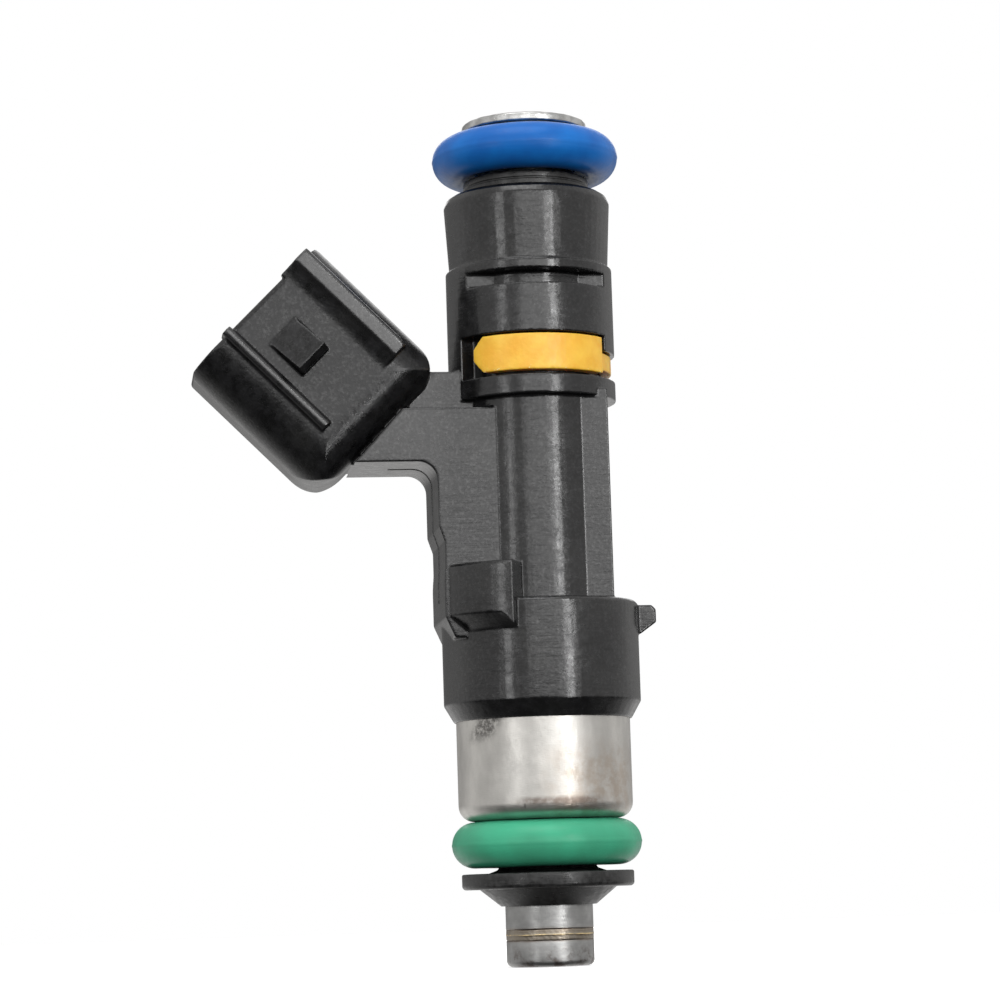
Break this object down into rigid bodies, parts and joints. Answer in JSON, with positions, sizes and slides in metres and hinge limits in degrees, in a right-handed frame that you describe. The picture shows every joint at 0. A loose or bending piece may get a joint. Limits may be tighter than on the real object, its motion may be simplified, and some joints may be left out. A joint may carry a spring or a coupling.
{
  "type": "fuel injector",
  "caption": "Top-feed port fuel injector with two seal rings, an angled plug socket, a coil housing and a lifting valve needle.",
  "frame": {"origin": "centre of the nozzle tip, on the valve axis", "axes": "+Z along the valve axis from the nozzle to the fuel inlet; the plug socket points to -X and up; Y is across the arm"},
  "size_m": [0.0354, 0.0162, 0.0656],
  "materials": {
    "moulded_nylon": "satin glass-filled black nylon",
    "bright_steel": "drawn stainless",
    "nozzle_steel": "drawn stainless, slightly stained",
    "weld_tint": "heat-tinted weld",
    "blue_rubber": "satin moulded seal",
    "green_rubber": "satin moulded seal",
    "ring_plastic": "satin black",
    "orange_plastic": "semi-gloss",
    "can_steel": "satin, light scratches",
    "core_steel": "turned soft magnetic steel",
    "bobbin_plastic": "glass-filled",
    "copper_wire": "enamelled copper",
    "contact_metal": "tinned bronze",
    "spring_steel": "bright wire",
    "needle_steel": "ground stainless",
    "ball_steel": "polished",
    "filter_brass": "satin",
    "filter_gauze": "woven gauze"
  },
  "bodies": {
    "injector_body": {"overmould_body": "moulded_nylon", "inlet_tube": "bright_steel", "valve_tube": "nozzle_steel", "seat_weld_bead": "weld_tint", "upper_seal_ring": "blue_rubber", "upper_backup_ring": "ring_plastic", "marker_clip": "orange_plastic", "lower_seal_ring": "green_rubber", "lower_support_ring": "ring_plastic", "magnet_housing": "can_steel", "yoke_ring": "core_steel", "coil_bobbin": "bobbin_plastic", "coil_winding": "copper_wire", "coil_leads": "copper_wire", "terminal_inner": "contact_metal", "terminal_outer": "contact_metal", "pole_core": "core_steel", "adjusting_sleeve": "spring_steel", "return_spring": "spring_steel", "valve_seat": "needle_steel", "orifice_plate": "nozzle_steel", "inlet_filter_frame": "filter_brass", "inlet_filter_mesh": "filter_gauze"},
    "valve_needle": {"armature": "core_steel", "needle_tube": "needle_steel", "valve_ball": "ball_steel"}
  },
  "joints": [
    {"name": "needle_lift", "type": "slide", "parent": "injector_body", "child": "valve_needle", "axis": [0, 0, 1], "range_m": [0, 0.00008], "stiffness_N_per_m": 20, "springref_m": -0.0002, "deforming": ["return_spring"]}
  ]
}
